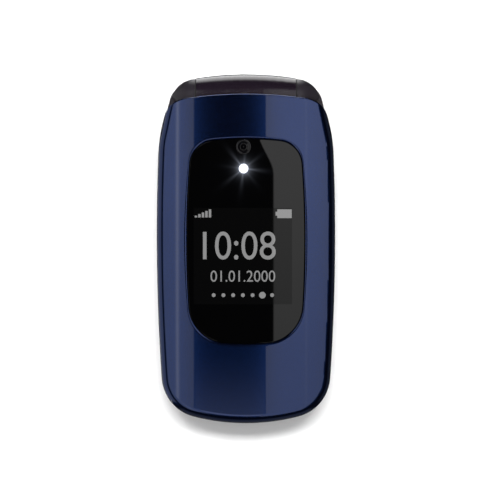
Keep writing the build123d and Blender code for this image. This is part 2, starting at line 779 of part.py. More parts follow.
def key_dome_sheet():
    """A film on the board with a snap dome under every key."""
    width = board_size[0] - board_corner
    places = [at for name, size, at in key_places()]
    tilt = (nav_outer + nav_inner) / 2
    places += [(0, nav_y), (tilt, nav_y), (-tilt, nav_y), (0, nav_y + tilt), (0, nav_y - tilt)]
    low = min(y for x, y in places) - key_size[1] / 2
    high = max(y for x, y in places) + key_size[1] / 2
    sheet = block((-width / 2, width / 2), (low, high), (board_top, board_top + dome_sheet_thickness))
    domes = [disc(dome_radius, at, (board_top, dome_top)) for at in places]
    return sheet + domes


def base_pieces():
    floor_top = wall
    parts = {
        "front_housing": front_housing(),
        "rear_housing": rear_housing(),
        "battery_cover": battery_cover(),
        "main_board": base_board(),
        "key_dome_sheet": key_dome_sheet(),
    }
    split = cover_plate + cover_skirt + fit_gap
    parts["battery"] = slab(battery_size, (0, battery_y), (bay_top - battery_size[2], bay_top))
    contact_y = battery_y + battery_size[1] / 2
    parts["battery_contacts"] = slab(contact_size, (0, contact_y + contact_size[1] / 2),
                                     (board_foot_z - contact_size[2], board_foot_z))
    parts["sim_holder"] = slab(grown(sim_size, -fit_gap), (0, sim_y),
                               (board_foot_z - sim_size[2], board_foot_z))
    mesh = (speaker_size[0], speaker_size[1])
    parts["speaker_mesh"] = slab(mesh, speaker_at, (floor_top, floor_top + mesh_thickness))
    parts["loudspeaker"] = slab(speaker_size, speaker_at,
                                (floor_top + mesh_thickness, floor_top + mesh_thickness + speaker_size[2]))
    parts["vibration_motor"] = disc(motor_radius, motor_at, (floor_top, floor_top + motor_height))
    parts["shield_can"] = slab(shield_size, shield_at, (board_foot_z - shield_size[2], board_foot_z))
    mouth = foot_y + base_inset + usb_sink
    usb = slab(usb_size, (0, mouth + usb_size[1] / 2), (board_foot_z - usb_size[2], board_foot_z))
    hole = grown((usb_size[0], usb_size[2]), -usb_wall)
    middle = board_foot_z - usb_size[2] / 2
    usb = usb - block((-hole[0] / 2, hole[0] / 2), (mouth - past, mouth + usb_size[1] - 2 * usb_wall),
                      (middle - hole[1] / 2, middle + hole[1] / 2))
    tongue = block((-hole[0] / 2 + usb_tongue_inset, hole[0] / 2 - usb_tongue_inset),
                   (mouth + usb_tongue_inset, mouth + usb_size[1] - usb_wall),
                   (middle, middle + 2 * usb_wall))
    parts["usb_socket"] = usb + tongue
    inner = side_half(headset_y + headset_size[1] / 2) - wall - fit_gap
    jack = block((-inner, -inner + headset_size[0]),
                 (headset_y - headset_size[1] / 2, headset_y + headset_size[1] / 2),
                 (board_foot_z - headset_size[2], board_foot_z))
    bore = rod(headset_bore, (-inner - past, -inner + headset_size[0] - wall), headset_y, headset_z())
    parts["headset_socket"] = jack - bore
    parts["microphone"] = disc(microphone_radius, microphone_at, (board_top, board_top + microphone_height))
    parts["antenna"] = slab(antenna_size, antenna_at, (board_foot_z - antenna_size[2], board_foot_z))
    screws = []
    for x, y in base_screw_at:
        foot = (split if y < battery_cover_end else 0) + wall
        for side in (1, -1):
            at = (side * x, y)
            screws.append(disc(screw_radius, at, (foot, deck_foot - fit_gap))
                          + disc(screw_head[0], at, (foot, foot + screw_head[1])))
    parts["base_screws"] = Compound(children=screws)
    return parts


# ---------------------------------------------------------------- keys

def pad_key(size, at):
    """A key: its cap in the deck, and a foot under the deck that keeps it in."""
    cap = pad(size, key_corner, at, (flange_foot, key_top))
    edge = cap.edges().group_by(Axis.Z)[-1]
    cap = fillet(edge, key_gap)
    foot = pad(grown(size, key_flange), key_corner + key_flange, at,
               (flange_foot, flange_foot + key_flange_height))
    return cap + foot


def key_pieces():
    parts = {name: pad_key(size, at) for name, size, at in key_places()}
    pad_foot = flange_foot - fit_gap
    ring_foot = pad_foot + nav_pad_height + nav_rise
    centre = (0, nav_y)
    ring = disc(nav_outer, centre, (ring_foot, key_top - fit_gap))
    parts["nav_ring"] = ring - disc(nav_inner, centre, (0, above))
    cushion = disc(nav_pad_outer, centre, (pad_foot, pad_foot + nav_pad_height))
    parts["nav_pad"] = cushion - disc(nav_inner, centre, (0, above))
    parts["ok_key"] = disc(ok_radius, centre, (flange_foot, key_top - fit_gap / 2))
    parts.update(side_keys())
    button = disc(help_button_radius, help_button_at, (help_button_sink, wall + side_flange[1]))
    flange = disc(help_button_radius + side_flange[0], help_button_at,
                  (wall + fit_gap / 2, wall + side_flange[1]))
    parts["help_button"] = button + flange
    return parts


os.makedirs("parts", exist_ok=True)
pieces = {**lid_pieces(), **hinge_pieces(), **base_pieces(), **key_pieces()}
for name, piece in pieces.items():
    piece.label = name
    export_step(piece, f"parts/{name}.step")
print(len(pieces), "nodes")
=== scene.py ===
import math

import bmesh
import bpy
import numpy as np
from mathutils import Matrix, Vector
from mathutils.geometry import convex_hull_2d


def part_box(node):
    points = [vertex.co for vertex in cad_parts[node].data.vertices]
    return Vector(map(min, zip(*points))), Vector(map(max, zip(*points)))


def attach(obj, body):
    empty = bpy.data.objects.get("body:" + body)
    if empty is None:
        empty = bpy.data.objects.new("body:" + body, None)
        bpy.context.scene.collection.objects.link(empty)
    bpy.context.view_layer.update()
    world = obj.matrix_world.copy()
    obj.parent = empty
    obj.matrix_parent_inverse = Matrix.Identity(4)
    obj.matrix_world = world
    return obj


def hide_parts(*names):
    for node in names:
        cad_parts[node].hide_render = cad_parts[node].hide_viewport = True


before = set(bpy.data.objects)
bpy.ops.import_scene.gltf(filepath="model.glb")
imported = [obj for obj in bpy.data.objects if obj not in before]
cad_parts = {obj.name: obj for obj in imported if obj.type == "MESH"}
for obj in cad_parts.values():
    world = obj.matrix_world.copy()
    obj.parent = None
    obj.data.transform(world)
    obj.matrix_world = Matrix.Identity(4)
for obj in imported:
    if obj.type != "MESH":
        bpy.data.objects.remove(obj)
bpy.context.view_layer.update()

# ---------------------------------------------------------------------------------------------
# Rear housing. Injection-moulded dark ABS with a fine spark-eroded skin. It carries the battery
# bay, the speaker slots and the screw bosses, and four screws hold it to the front housing.

mm = 0.001
housing_colour = (0.0115, 0.0095, 0.0125)
housing_grain = 0.16 * mm
flow_size, flow_gloss = 9 * mm, 0.12        # the slow drift that the plastic's flow leaves
least_gap, flat_angle = 0.002 * mm, 0.4     # points nearer are one; faces flatter than this angle are one
edge_angle = 38.0                           # sharper edges are broken


class Number:
    """A shader socket that sums and products can be written with."""

    def __init__(self, finish, socket):
        self.finish, self.socket = finish, socket

    def math(self, operation, *values):
        return self.finish.node("ShaderNodeMath", {"operation": operation}, *values)

    def __add__(self, other):
        return self.math("ADD", self, other)

    def __sub__(self, other):
        return self.math("SUBTRACT", self, other)

    def __rsub__(self, other):
        return self.math("SUBTRACT", other, self)

    def __mul__(self, other):
        return self.math("MULTIPLY", self, other)

    def __truediv__(self, other):
        return self.math("DIVIDE", self, other)

    def __pow__(self, other):
        return self.math("POWER", self, other)

    __radd__ = __add__
    __rmul__ = __mul__

    def of(self, operation):
        return self.math(operation, self)

    def below(self, edge, soft):
        """1 under an edge and 0 over it, with a soft step."""
        return self.finish.node("ShaderNodeMapRange", {"interpolation_type": "SMOOTHSTEP"},
                                self, edge - soft, edge + soft, 1.0, 0.0)


class Finish:
    """A material for one kind of surface."""

    def __init__(self, name, colour, roughness, **constants):
        self.material = bpy.data.materials.new(name)
        self.material.use_nodes = True
        self.tree = self.material.node_tree
        self.shader = self.tree.nodes["Principled BSDF"]
        self.feed("Base Color", colour)
        self.feed("Roughness", roughness)
        for socket, value in constants.items():
            self.feed(socket.replace("_", " "), value)

    def plug(self, socket, value):
        if isinstance(value, Number):
            self.tree.links.new(value.socket, socket)
        elif isinstance(value, tuple) and len(value) == 3 and socket.type == "RGBA":
            socket.default_value = (*value, 1.0)
        else:
            socket.default_value = value

    def feed(self, socket, value):
        self.plug(self.shader.inputs[socket], value)

    def node(self, kind, settings, *values, output=0, **named):
        """Any other node: its settings first, then the values or links of its sockets."""
        made = self.tree.nodes.new(kind)
        for key, value in settings.items():
            setattr(made, key, value)
        for socket, value in zip(made.inputs, values):
            self.plug(socket, value)
        for name, value in named.items():
            self.plug(made.inputs[name.replace("_", " ")], value)
        return Number(self, made.outputs[output])

    def where(self):
        return self.node("ShaderNodeTexCoord", {}, output="Object")

    def along(self, axis):
        return self.node("ShaderNodeSeparateXYZ", {}, self.where(), output=axis)

    def off(self, x, y):
        """How far a point of the piece lies from an upright line, and the two sides of that distance."""
        off_x, off_y = self.along(0) - x, self.along(1) - y
        return (off_x * off_x + off_y * off_y) ** 0.5, off_x, off_y

    def checks(self, size):
        """1 and 0 by turns, as on a board of little squares."""
        return self.node("ShaderNodeTexChecker", {}, Vector=self.where(), Scale=1 / size, output=1)

    def noise(self, size, detail=2.0, stretch=(1.0, 1.0, 1.0)):
        place = self.node("ShaderNodeMapping", {}, Vector=self.where(), Scale=stretch)
        return self.node("ShaderNodeTexNoise", {}, Vector=place, Scale=1.0 / size, Detail=detail)

    def blend(self, share, first, second):
        made = self.tree.nodes.new("ShaderNodeMix")
        made.data_type = "RGBA"
        for place, value in ((0, share), (6, first), (7, second)):
            self.plug(made.inputs[place], value)
        return Number(self, made.outputs[2])

    def bump(self, height, depth):
        self.feed("Normal", self.node("ShaderNodeBump", {}, Height=height, Distance=depth))


def moulded(name, colour, roughness, grain=housing_grain, depth=0.006 * mm, **constants):
    """Moulded plastic: fine grain, and a slow drift in tone and gloss from the flow of the plastic."""
    finish = Finish(name, colour, roughness, **constants)
    drift = finish.noise(flow_size, 3.0)
    light = tuple(min(1.0, value * 1.25 + 0.0006) for value in colour)
    finish.feed("Base Color", finish.blend(drift, colour, light))
    finish.feed("Roughness", drift * flow_gloss + (roughness - flow_gloss / 2))
    finish.bump(finish.noise(grain, 3.0), depth)
    return finish


def smooth(obj, angle=32.0):
    """Round surfaces shaded smooth, edges kept crisp."""
    for face in obj.data.polygons:
        face.use_smooth = True
    obj.data.set_sharp_from_angle(angle=math.radians(angle))


def placed(name, data):
    """A new object in the scene."""
    obj = bpy.data.objects.new(name, data)
    bpy.context.scene.collection.objects.link(obj)
    return obj


def worked(obj):
    """The mesh that an object's modifiers or its text make."""
    return bpy.data.meshes.new_from_object(obj.evaluated_get(bpy.context.evaluated_depsgraph_get()))


def settle(obj):
    """The object's modifiers worked into its mesh."""
    shape = worked(obj)
    obj.modifiers.clear()
    obj.data = shape


def broken_edges(node, finish, body, edge=0.12 * mm):
    """A copy of a solid with its sharp edges broken, as moulding and tumbling leave them."""
    shape = bmesh.new()
    shape.from_mesh(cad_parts[node].data)
    bmesh.ops.remove_doubles(shape, verts=shape.verts, dist=least_gap)
    bmesh.ops.dissolve_limit(shape, angle_limit=math.radians(flat_angle), verts=shape.verts, edges=shape.edges)
    mesh = bpy.data.meshes.new(node + "_finished")
    shape.to_mesh(mesh)
    shape.free()
    obj = placed(node + "_finished", mesh)
    mesh.materials.append(finish.material)
    rounding = obj.modifiers.new("edges", "BEVEL")
    rounding.width, rounding.segments = edge, 2
    rounding.limit_method, rounding.angle_limit = "ANGLE", math.radians(edge_angle)
    rounding.use_clamp_overlap = True
    settle(obj)
    smooth(obj)
    even = obj.modifiers.new("even", "WEIGHTED_NORMAL")     # flat faces stay flat beside a broken edge
    even.keep_sharp = True
    settle(obj)
    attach(obj, body)
    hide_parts(node)


case_plastic = moulded("case_plastic", housing_colour, 0.42)
broken_edges("rear_housing", case_plastic, "base")

# ---------------------------------------------------------------------------------------------
# Battery, its spring contacts and the SIM holder. The cell is wrapped in printed film and drops
# into the bay under the battery cover. The cover is a moulded plate that slides off the foot end.

wrap_colour = (0.035, 0.037, 0.045)

battery_film = Finish("battery_film", wrap_colour, 0.38)
wrinkles = battery_film.noise(6 * mm, 4.0, (1.0, 3.0, 1.0))
battery_film.feed("Base Color", battery_film.blend(wrinkles, wrap_colour, (0.06, 0.062, 0.075)))
battery_film.bump(wrinkles, 0.04 * mm)
broken_edges("battery", battery_film, "base", 0.4 * mm)

plating = Finish("gold_plating", (0.78, 0.56, 0.24), 0.28, Metallic=1.0)
plating.feed("Roughness", plating.noise(0.4 * mm, 4.0) * 0.2 + 0.18)
broken_edges("battery_contacts", plating, "base", 0.1 * mm)

steel = Finish("sheet_steel", (0.55, 0.55, 0.57), 0.34, Metallic=1.0)
rolling = steel.noise(0.5 * mm, 4.0, (1.0, 14.0, 1.0))
steel.feed("Roughness", rolling * 0.22 + 0.24)
steel.bump(rolling, 0.004 * mm)
broken_edges("sim_holder", steel, "base", 0.1 * mm)

cover_plastic = moulded("battery_cover_plastic", housing_colour, 0.5, 0.3 * mm, 0.014 * mm)
broken_edges("battery_cover", cover_plastic, "battery_cover")

# ---------------------------------------------------------------------------------------------
# Main board and what is soldered to it: shield can, loudspeaker, buzzer motor, sockets, microphone
# and antenna. Glass-fibre laminate under green solder mask, clamped between the two housings.

mask_colour = (0.006, 0.07, 0.028)
thread = 0.2 * mm           # of the speaker's cloth


def paint(finish, *nodes):
    """A finish on solids whose own shape is right."""
    for node in nodes:
        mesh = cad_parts[node].data
        if not mesh.materials:
            mesh.materials.append(finish.material)
        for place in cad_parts[node].material_slots:
            place.material = finish.material


laminate = Finish("green_laminate", mask_colour, 0.32, Coat_Weight=0.6, Coat_Roughness=0.12)
tracks = laminate.node("ShaderNodeTexBrick", {"offset": 0.37, "offset_frequency": 3}, Vector=laminate.where(),
                       Scale=240.0, Color1=mask_colour, Color2=(0.012, 0.11, 0.045), Mortar=(0.02, 0.16, 0.07),
                       Mortar_Size=0.012)
laminate.feed("Base Color", tracks)
broken_edges("main_board", laminate, "base", 0.06 * mm)
broken_edges("lid_board", laminate, "lid", 0.06 * mm)

for node, edge in (("shield_can", 0.2), ("loudspeaker", 0.4), ("vibration_motor", 0.3), ("usb_socket", 0.08),
                   ("microphone", 0.15), ("base_screws", 0.1)):
    broken_edges(node, steel, "base", edge * mm)

cloth = Finish("speaker_cloth", (0.02, 0.02, 0.022), 0.7)
cloth.feed("Base Color", cloth.blend(cloth.checks(thread), (0.008, 0.008, 0.009), (0.05, 0.05, 0.055)))
paint(cloth, "speaker_mesh")

black_moulding = moulded("black_moulding", (0.012, 0.012, 0.013), 0.45, 0.2 * mm)
broken_edges("headset_socket", black_moulding, "base", 0.15 * mm)

amber_film = Finish("amber_film", (0.24, 0.11, 0.02), 0.3, Coat_Weight=0.5)
copper = amber_film.node("ShaderNodeTexWave", {"bands_direction": "X"}, Vector=amber_film.where(), Scale=420.0)
amber_film.feed("Base Color", amber_film.blend(copper, (0.24, 0.11, 0.02), (0.36, 0.18, 0.05)))
paint(amber_film, "antenna", "key_dome_sheet")

# ---------------------------------------------------------------------------------------------
# Front housing: the keypad deck with an opening for every key, and the two ears that hold the
# hinge. The same moulded plastic as the rear housing, with a finer skin on the deck.

broken_edges("front_housing", case_plastic, "base", 0.15 * mm)

# ---------------------------------------------------------------------------------------------
# Number keys. Each is a moulded cap with a gently pillowed top on a wider foot that the deck keeps
# in, over a snap dome. The numerals are pad-printed in pale ink: plain numbers, star and hash.

key_foot_spread, key_foot_height, key_foot_chamfer = 0.5 * mm, 0.6 * mm, 0.1 * mm
key_corner, key_edge = 1.8 * mm, 0.15 * mm
key_pillow, pillow_steps, pillow_spread, pillow_curve = 0.42 * mm, 9, 1.8, 3.2
least_half, least_bend = 0.6 * mm, 0.12 * mm      # of the smallest ring on top of a key
key_colour = (0.016, 0.016, 0.019)
numeral_height, star_height, ink_height = 4.4 * mm, 2.6 * mm, 0.015 * mm


def corners(node):
    """The lowest and the highest corner of a solid."""
    return (Vector(point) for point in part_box(node))


def round_corners(half_width, half_length, corner, steps=7):
    """A closed line round a rectangle with round corners, from its first corner."""
    line = []
    for turn, (x, y) in enumerate(((1, 1), (-1, 1), (-1, -1), (1, -1))):
        for step in range(steps + 1):
            angle = math.radians(90 * (turn + step / steps))
            line.append((x * (half_width - corner) + corner * math.cos(angle),
                         y * (half_length - corner) + corner * math.sin(angle)))
    return line


def skin(name, rings, hole=False):
    """A mesh skinned over closed rings of points; the last ring joins the first where it has a hole."""
    count, verts, faces = len(rings[0]), np.vstack(rings), []
    for low in range(len(rings) if hole else len(rings) - 1):
        high = (low + 1) % len(rings)
        for step in range(count):
            after = (step + 1) % count
            faces.append((low * count + step, low * count + after, high * count + after, high * count + step))
    if not hole:
        verts = np.vstack((verts, np.mean(rings[0], 0), np.mean(rings[-1], 0)))
        foot, crest, last = len(verts) - 2, len(verts) - 1, (len(rings) - 1) * count
        for step in range(count):
            after = (step + 1) % count
            faces += [(after, step, foot), (last + step, last + after, crest)]
    mesh = bpy.data.meshes.new(name)
    mesh.from_pydata(verts.tolist(), [], faces)
    shape = bmesh.new()
    shape.from_mesh(mesh)
    bmesh.ops.recalc_face_normals(shape, faces=shape.faces)
    shape.to_mesh(mesh)
    shape.free()
    return mesh


def show(name, mesh, finish, body, slot, *nodes):
    """A finished mesh put in the scene, on its body, in place of the solids that it stands for."""
    obj = placed(name, mesh)
    mesh.materials.clear()
    mesh.materials.append(finish.material)
    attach(obj, body)
    if nodes:
        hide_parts(*nodes)
    return obj


def pillow_key(node, finish, slot):
    """A key cap with a pillowed top on its foot, in the solid's own place."""
    low, high = corners(node)
    middle, half = (low + high) / 2, (high - low) / 2
    foot_z, edge_z = low.z + key_foot_height, high.z - key_pillow
    levels = [(0.0, low.z), (0.0, foot_z - key_foot_chamfer), (key_foot_chamfer, foot_z),
              (key_foot_spread, foot_z), (key_foot_spread, edge_z - key_edge)]
    for share in np.linspace(0, 1, pillow_steps + 1)[1:]:
        inset = (half.x - 2 * key_foot_spread) * share ** pillow_spread
        levels.append((key_foot_spread + inset, edge_z + key_pillow * (1 - (1 - share) ** pillow_curve)))
    rings = []
    for inset, z in levels:
        long = max(half.y - inset, least_half)
        bend = min(max(key_corner + key_foot_spread - inset, least_bend), half.x - inset, long)
        line = round_corners(half.x - inset, long, bend)
        rings.append([(middle.x + x, middle.y + y, z) for x, y in line])
    smooth(show(node + "_cap", skin(node + "_cap", rings), finish, node, slot, node), 50.0)


def letters(name, text, width, height, centre):
    """Flat figures as a mesh of a given height, and of a given width where one is named."""
    curve = bpy.data.curves.new(name, "FONT")
    curve.body, curve.resolution_u = text, 6
    written = placed(name + "_curve", curve)
    mesh = worked(written)
    bpy.data.objects.remove(written)
    mesh.name = name
    low = [min(v.co[axis] for v in mesh.vertices) for axis in (0, 1)]
    high = [max(v.co[axis] for v in mesh.vertices) for axis in (0, 1)]
    tall = height / (high[1] - low[1])
    wide = width / (high[0] - low[0]) if width else tall
    for vertex in mesh.vertices:
        vertex.co.x = (vertex.co.x - (low[0] + high[0]) / 2) * wide + centre[0]
        vertex.co.y = (vertex.co.y - (low[1] + high[1]) / 2) * tall + centre[1]
    return mesh


def printed(node, text, height):
    """A figure printed on the top of a key, just proud of it."""
    low, high = corners(node)
    mesh = letters(node + "_numeral", text, None, height, (low + high) / 2)
    for vertex in mesh.vertices:
        vertex.co.z = high.z + ink_height
    show(node + "_numeral", mesh, pale_ink, node, "key")


key_plastic = moulded("key_plastic", key_colour, 0.46, 0.12 * mm)
pale_ink = Finish("pale_ink", (0.72, 0.73, 0.75), 0.55)
pale_ink.feed("Roughness", pale_ink.noise(0.3 * mm) * 0.2 + 0.45)

for mark in "123456789*0#":
    node = "key_" + {"*": "star", "#": "hash"}.get(mark, mark)
    pillow_key(node, key_plastic, "key")
    printed(node, mark, star_height if mark == "*" else numeral_height)

# ---------------------------------------------------------------------------------------------
# Soft keys, call keys and the round navigation set. Silver-grey caps; the call keys carry a green
# and a red bar. The ring rocks on a rubber pad, and the OK key stands in the middle of the ring.

bar_half_width, bar_half_height, bar_corner = 1.9 * mm, 0.36 * mm, 0.34 * mm

silver_plastic = moulded("silver_plastic", (0.46, 0.47, 0.5), 0.36, 0.12 * mm, Metallic=0.35)
green_plastic = moulded("green_plastic", (0.02, 0.3, 0.05), 0.38)
red_plastic = moulded("red_plastic", (0.45, 0.012, 0.012), 0.38)

for node, plastic, slot in (("soft_key_left", silver_plastic, "key_light"),
                            ("soft_key_right", silver_plastic, "key_light"),
                            ("send_key", green_plastic, "key_green"), ("end_key", red_plastic, "key_red")):
    pillow_key(node, plastic, slot)
for node in ("soft_key_left", "soft_key_right", "send_key", "end_key"):
    low, high = corners(node)
    middle = (low + high) / 2
    line = round_corners(bar_half_width, bar_half_height, bar_corner, 4)
    bar = bpy.data.meshes.new(node + "_bar")
    bar.from_pydata([(middle.x + x, middle.y + y, high.z + ink_height) for x, y in line], [], [range(len(line))])
    show(node + "_bar", bar, pale_ink, node, "key")

rubber = moulded("soft_rubber", (0.012, 0.012, 0.012), 0.7, 0.25 * mm)
paint(rubber, "nav_pad")
broken_edges("nav_ring", silver_plastic, "nav_ring", 0.45 * mm)
broken_edges("ok_key", silver_plastic, "ok_key", 0.45 * mm)

# ---------------------------------------------------------------------------------------------
# Side keys and the help button. Moulded bars that stand in slots in the side walls, each on a foot
# behind the wall, and a red call-for-help button sunk in the back so that it isn't pressed by a table.

broken_edges("volume_rocker", case_plastic, "volume_rocker", 0.3 * mm)
broken_edges("side_key", case_plastic, "side_key", 0.3 * mm)
broken_edges("help_button", red_plastic, "help_button", 0.3 * mm)

# ---------------------------------------------------------------------------------------------
# Hinge: a steel can with a wound spring and cam on the left, and a plain pin in a bush on the
# right. Both are pressed into the lid's barrel, and their shafts sit in the ears of the base. A thin
# dark disc fills each seam between the barrel and an ear, put there as painted shade in the gap.

for node, body in (("hinge_can", "lid"), ("hinge_bush", "lid"),
                   ("hinge_cam_shaft", "base"), ("hinge_pin", "base")):
    broken_edges(node, steel, body, 0.15 * mm)

# Painted shade: a dark disc in each seam stands in for the shade in the gap.
washer_turn = np.linspace(0, 2 * math.pi, 96, endpoint=False)
seam_shade_radius, seam_shade_thickness, seam_shade_clear = 4.75 * mm, 0.24 * mm, 0.03 * mm
low, high = corners("hinge_pin")
axis = (low + high) / 2
washer_bore = (high.y - low.y) / 2 + seam_shade_clear
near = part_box("hinge_bush")[1][0] + seam_shade_clear
seam_shade_discs = bmesh.new()
for side in (1, -1):
    rings = [[(side * x, axis.y + radius * math.cos(a), axis.z + radius * math.sin(a)) for a in washer_turn]
             for radius, x in ((washer_bore, near), (seam_shade_radius, near),
                               (seam_shade_radius, near + seam_shade_thickness), (washer_bore, near + seam_shade_thickness))]
    seam_shade_discs.from_mesh(skin("hinge_seam_shade_disc", rings, hole=True))
seam_shade_mesh = bpy.data.meshes.new("hinge_seam_shade_discs")
seam_shade_discs.to_mesh(seam_shade_mesh)
seam_shade_discs.free()
smooth(show("hinge_seam_shade_discs", seam_shade_mesh, rubber, "base", "rubber"))

# ---------------------------------------------------------------------------------------------
# Hinge flex cable. Printed copper on thin film under a dark shield, wound round the hinge's axis
# inside the barrel. One half turns with the lid, and the other stays with the base.

flex_thickness = 0.2 * mm
flex_layer = 0.24 * mm      # from one layer of the wound cable to the next
flex_steps = 25
flex_low, flex_high = corners("hinge_flex_cable")
flex_turn = (flex_high.z - flex_low.z) / 2 - flex_thickness / 2

shield_film = Finish("shield_film", (0.014, 0.012, 0.012), 0.4)
weave = shield_film.noise(0.35 * mm, 3.0, (1.0, 6.0, 1.0))
shield_film.feed("Base Color", shield_film.blend(weave, (0.01, 0.009, 0.009), (0.022, 0.018, 0.016)))
shield_film.feed("Roughness", weave * 0.2 + 0.32)


def cable_half(name, body, up, radius):
    """Half of the wound cable: a straight tail to one board, and half a turn round the hinge's axis."""
    rings = []
    for turn in (None, *np.linspace(0, math.pi, flex_steps)):
        ring = []
        for x, reach in ((flex_low.x, -1), (flex_high.x, -1), (flex_high.x, 1), (flex_low.x, 1)):
            out = radius + reach * flex_thickness / 2
            if turn is None:
                ring.append((x, flex_low.y, axis.z + up * out))
            else:
                ring.append((x, axis.y + out * math.sin(turn), axis.z + up * out * math.cos(turn)))
        rings.append(ring)
    smooth(show(name, skin(name, rings), shield_film, body, "film", "hinge_flex_cable"))


cable_half("flex_cable_lid_half", "lid", 1, flex_turn)
cable_half("flex_cable_base_half", "base", -1, flex_turn - flex_layer)

# ---------------------------------------------------------------------------------------------
# Hinge spring: spring-steel wire wound on a mandrel into a short compression coil. It sits in the
# can between its end wall and the cam, and pushes the cam closed.

spring_wire, spring_turns = 0.26 * mm, 5.0
coil_steps, wire_sides = 40, 10


def coil_group():
    """A wound compression spring, swept along a spiral."""
    tree = bpy.data.node_groups.new("wound_spring", "GeometryNodeTree")
    for name, kind in (("Geometry", "Geometry"), ("Turns", "Float"), ("Radius", "Float"), ("Length", "Float"),
                       ("Wire", "Float"), ("Finish", "Material")):
        tree.interface.new_socket(name, in_out="INPUT", socket_type="NodeSocket" + kind)
    tree.interface.new_socket("Geometry", in_out="OUTPUT", socket_type="NodeSocketGeometry")
    entry, leave, spiral, wire, sweep, real, finish = (tree.nodes.new(kind) for kind in (
        "NodeGroupInput", "NodeGroupOutput", "GeometryNodeCurveSpiral", "GeometryNodeCurvePrimitiveCircle",
        "GeometryNodeCurveToMesh", "GeometryNodeRealizeInstances", "GeometryNodeSetMaterial"))
    spiral.inputs["Resolution"].default_value = coil_steps
    wire.inputs["Resolution"].default_value = wire_sides
    sweep.inputs["Fill Caps"].default_value = True
    for start, output, end, place in (
            (entry, "Turns", spiral, "Rotations"), (entry, "Radius", spiral, "Start Radius"),
            (entry, "Radius", spiral, "End Radius"), (entry, "Length", spiral, "Height"),
            (entry, "Wire", wire, "Radius"), (spiral, 0, sweep, "Curve"), (wire, "Curve", sweep, "Profile Curve"),
            (sweep, "Mesh", real, "Geometry"), (real, "Geometry", finish, "Geometry"),
            (entry, "Finish", finish, "Material"), (finish, "Geometry", leave, "Geometry")):
        tree.links.new(start.outputs[output], end.inputs[place])
    return tree


def from_group(name, tree, **inputs):
    """The plain mesh that a node group makes from its named inputs."""
    obj = placed(name, bpy.data.meshes.new(name))
    made = obj.modifiers.new(name, "NODES")
    made.node_group = tree
    for item in tree.interface.items_tree:
        if item.in_out == "INPUT" and item.name in inputs:
            made[item.identifier] = inputs[item.name]
    mesh = worked(obj)
    bpy.data.objects.remove(obj)
    mesh.name = name
    return mesh


low, high = corners("hinge_spring")
coil = from_group("spring_coil", coil_group(), Turns=spring_turns,
                  Radius=(high.z - low.z) / 2 - spring_wire, Length=high.x - low.x - 2 * spring_wire,
                  Wire=spring_wire, Finish=steel.material)
for vertex in coil.vertices:
    x, y, z = vertex.co
    vertex.co = (low.x + spring_wire + z, (low.y + high.y) / 2 + x, (low.z + high.z) / 2 + y)
smooth(show("spring_coil", coil, steel, "lid", "metal", "hinge_spring"), 60.0)

# ---------------------------------------------------------------------------------------------
# Lid inner housing with the hinge barrel moulded on. Dark plum-black satin plastic: it frames the
# main screen and the earpiece, and shows from outside only as the barrel behind the cover.

barrel_colour = (0.0068, 0.0042, 0.0075)

barrel_plastic = moulded("barrel_plastic", barrel_colour, 0.22, 0.1 * mm, 0.002 * mm)
broken_edges("lid_inner_housing", barrel_plastic, "lid", 0.12 * mm)
for node, edge in (("closing_magnet", 0.1), ("earpiece", 0.2), ("lid_screws", 0.1)):
    broken_edges(node, steel, "lid", edge * mm)
broken_edges("lid_bumpers", rubber, "lid", 0.15 * mm)
paint(cloth, "earpiece_mesh")

# ---------------------------------------------------------------------------------------------
# Main screen: a display module under a glued lens. The lens is clear plastic with a black border
# printed on its back, so with the screen off it shows as one glossy black sheet.

lens_glass = Finish("lens_glass", (0.004, 0.004, 0.005), 0.06, Coat_Weight=1.0, Coat_Roughness=0.02)
lens_glass.feed("Base Color", lens_glass.blend(lens_glass.noise(20 * mm), (0.003, 0.003, 0.004),
                                               (0.006, 0.006, 0.008)))
broken_edges("main_screen_lens", lens_glass, "lid", 0.12 * mm)

cell = 0.25 * mm            # of a display
panel = Finish("display_panel", (0.012, 0.013, 0.014), 0.22)
panel.feed("Base Color", panel.blend(panel.checks(cell), (0.01, 0.011, 0.012), (0.018, 0.019, 0.021)))
broken_edges("main_display", panel, "lid", 0.1 * mm)
broken_edges("outer_display", panel, "lid", 0.1 * mm)

# ---------------------------------------------------------------------------------------------
# Outer cover of the lid. A thin moulded shell, crowned across and along with a full rounded rim,
# in deep blue metallic lacquer under clear coat. Four screws from inside hold it to the housing.

lacquer_dark = (0.008, 0.024, 0.105)
lacquer_light = (0.015, 0.043, 0.17)
flake = 0.07 * mm
crown_across = 95 * mm
crown_along = 900 * mm
rim_radius = 2.6 * mm
shell_wall = 1.2 * mm
edge_round, edge_fade_start, edge_fade = 0.35 * mm, 0.8 * mm, 1.6 * mm
foot_gap = 0.05 * mm        # the least height of the rim's wall
opening_gap = 0.15 * mm     # between the window and its opening
opening_roll, opening_sink, roll_curve = 0.75 * mm, 0.3, 2.2    # breadth of the roll round it, and its fall
shoulder = np.array((24.9, 31.0)) * mm
end_corner = np.array((21.0, 47.8)) * mm
end_corner_radius = 7.5 * mm
hinge_y, hinge_z = 43.7 * mm, 10.6 * mm
barrel_radius, barrel_end_radius, barrel_half = 6.1 * mm, 5.0 * mm, 14.3 * mm
ear_radius, ear_reach = 4.8 * mm, 7 * mm
barrel_gap, ear_gap = 0.12 * mm, 0.3 * mm
ledge_width, ledge_thickness, glass_thickness = 1.5 * mm, 0.8 * mm, 1.1 * mm
split_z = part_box("lid_outer_cover")[0][2]
lid_top = 19.4 * mm
line_points, line_soften = 460, 0.6 * mm
turn_more, turn_start, turn_reach = 1.2, 21 * mm, 10 * mm       # of the window's reflection at its hinge end
polish_reach, polish_flat = 0.004 * mm, 0.8


def crown_z(places):
    """Height of the crown over places of the plan."""
    across = crown_across - np.sqrt(crown_across ** 2 - places[:, 0] ** 2)
    along = crown_along - np.sqrt(crown_along ** 2 - places[:, 1] ** 2)
    return lid_top - across - along


